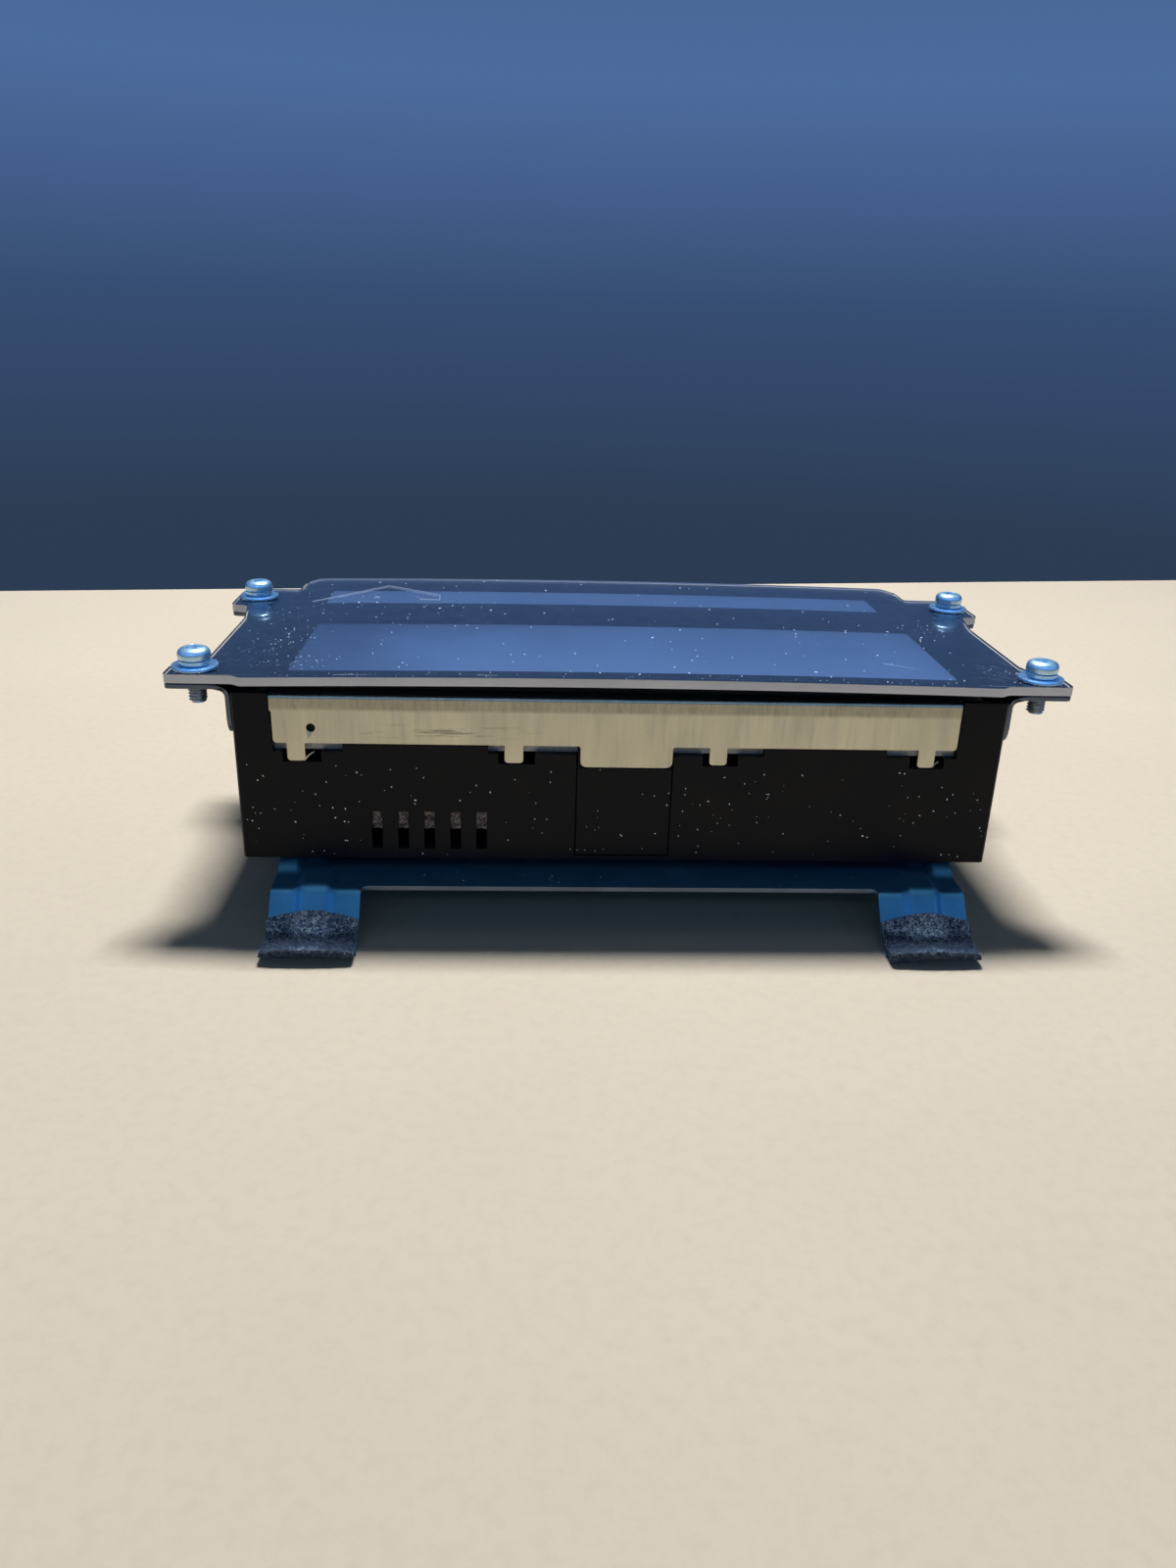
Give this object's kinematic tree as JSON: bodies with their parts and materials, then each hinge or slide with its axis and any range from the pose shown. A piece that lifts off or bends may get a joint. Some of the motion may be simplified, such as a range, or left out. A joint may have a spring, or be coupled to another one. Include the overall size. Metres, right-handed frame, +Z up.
{
  "type": "vehicle display and control unit",
  "caption": "Flat black dash unit with a clear two-window lens on four captive corner screws, a metal display frame and a padded zinc-plated bracket underneath.",
  "frame": {"origin": "centre of the bounding box's bottom, on the plane the bracket's feet stand on", "axes": "+X to the unit's right, +Y from the front skirt to the back, +Z up through the lens"},
  "size_m": [0.1976, 0.144, 0.0602],
  "materials": {
    "lens_acrylic": "clear polished acrylic",
    "mask_print": "black screen print",
    "gasket_foam": "dark foam tape",
    "dark_steel": "dark plated sheet",
    "bright_screw": "bright zinc plate",
    "washer_steel": "bright zinc plate",
    "foot_felt": "charcoal felt tape",
    "housing_black": "satin moulded black",
    "cover_black": "satin moulded black",
    "vent_felt": "grey-brown filter felt",
    "frame_metal": "bare pale gold-grey sheet with dull stains",
    "zinc_steel": "blue-white zinc plate",
    "display_glass": "dark polarised panel",
    "light_guide": "milky diffuser",
    "led_board": "white solder mask",
    "circuit_board": "green solder mask",
    "chip_black": "moulded package",
    "inductor_grey": "moulded ferrite",
    "capacitor_can": "sleeved can",
    "socket_ivory": "moulded ivory",
    "socket_grey": "moulded dark grey",
    "ribbon_film": "amber film",
    "bracket_zinc": "smooth blue-white zinc plate"
  },
  "bodies": {
    "unit": {"front_lens": "lens_acrylic", "lens_mask_print": "mask_print", "main_window_gasket": "gasket_foam", "strip_window_gasket": "gasket_foam", "left_side_bracket": "dark_steel", "right_side_bracket": "dark_steel", "side_screw_left_front": "bright_screw", "side_screw_left_rear": "bright_screw", "side_screw_right_front": "bright_screw", "side_screw_right_rear": "bright_screw", "board_screw_front_left": "bright_screw", "bracket_screw_front_left": "bright_screw", "foot_pad_front_left": "foot_felt", "board_screw_front_right": "bright_screw", "bracket_screw_front_right": "bright_screw", "foot_pad_front_right": "foot_felt", "board_screw_rear_left": "bright_screw", "bracket_screw_rear_left": "bright_screw", "foot_pad_rear_left": "foot_felt", "board_screw_rear_right": "bright_screw", "bracket_screw_rear_right": "bright_screw", "foot_pad_rear_right": "foot_felt", "housing": "housing_black", "front_center_cover": "housing_black", "rear_cover": "cover_black", "vent_felt": "vent_felt", "lcd_front_frame": "frame_metal", "lcd_rear_frame": "zinc_steel", "main_lcd_panel": "display_glass", "strip_lcd_panel": "display_glass", "main_light_guide": "light_guide", "strip_light_guide": "light_guide", "led_bar": "led_board", "main_board": "circuit_board", "main_processor": "chip_black", "memory_chip": "chip_black", "voltage_regulator": "chip_black", "power_inductor": "inductor_grey", "input_capacitor": "capacitor_can", "output_capacitor": "capacitor_can", "left_connector_socket": "socket_ivory", "ribbon_connector": "socket_ivory", "right_connector_socket": "socket_grey", "ribbon_cable": "ribbon_film", "mounting_bracket": "bracket_zinc"},
    "washers_front_left": {"spring_washer_front_left": "washer_steel", "flat_washer_front_left": "washer_steel"},
    "screw_front_left": {"corner_screw_front_left": "bright_screw"},
    "washers_front_right": {"spring_washer_front_right": "washer_steel", "flat_washer_front_right": "washer_steel"},
    "screw_front_right": {"corner_screw_front_right": "bright_screw"},
    "washers_rear_left": {"spring_washer_rear_left": "washer_steel", "flat_washer_rear_left": "washer_steel"},
    "screw_rear_left": {"corner_screw_rear_left": "bright_screw"},
    "washers_rear_right": {"spring_washer_rear_right": "washer_steel", "flat_washer_rear_right": "washer_steel"},
    "screw_rear_right": {"corner_screw_rear_right": "bright_screw"}
  },
  "joints": [
    {"name": "front_left_screw_lift", "type": "slide", "parent": "unit", "child": "washers_front_left", "axis": [0, 0, 1], "range_m": [0, 0.0049]},
    {"name": "front_left_screw_turn", "type": "hinge", "parent": "washers_front_left", "child": "screw_front_left", "pos_m": [-0.093, -0.041, 0.0576], "axis": [0, 0, 1], "range_deg": [0, 2520]},
    {"name": "front_right_screw_lift", "type": "slide", "parent": "unit", "child": "washers_front_right", "axis": [0, 0, 1], "range_m": [0, 0.0049]},
    {"name": "front_right_screw_turn", "type": "hinge", "parent": "washers_front_right", "child": "screw_front_right", "pos_m": [0.093, -0.041, 0.0576], "axis": [0, 0, 1], "range_deg": [0, 2520]},
    {"name": "rear_left_screw_lift", "type": "slide", "parent": "unit", "child": "washers_rear_left", "axis": [0, 0, 1], "range_m": [0, 0.0049]},
    {"name": "rear_left_screw_turn", "type": "hinge", "parent": "washers_rear_left", "child": "screw_rear_left", "pos_m": [-0.093, 0.0235, 0.0576], "axis": [0, 0, 1], "range_deg": [0, 2520]},
    {"name": "rear_right_screw_lift", "type": "slide", "parent": "unit", "child": "washers_rear_right", "axis": [0, 0, 1], "range_m": [0, 0.0049]},
    {"name": "rear_right_screw_turn", "type": "hinge", "parent": "washers_rear_right", "child": "screw_rear_right", "pos_m": [0.093, 0.0235, 0.0576], "axis": [0, 0, 1], "range_deg": [0, 2520]}
  ],
  "couplings": [
    {"joint": "front_left_screw_turn", "follows": "front_left_screw_lift", "rad_per_m": 8976},
    {"joint": "front_right_screw_turn", "follows": "front_right_screw_lift", "rad_per_m": 8976},
    {"joint": "rear_left_screw_turn", "follows": "rear_left_screw_lift", "rad_per_m": 8976},
    {"joint": "rear_right_screw_turn", "follows": "rear_right_screw_lift", "rad_per_m": 8976}
  ]
}
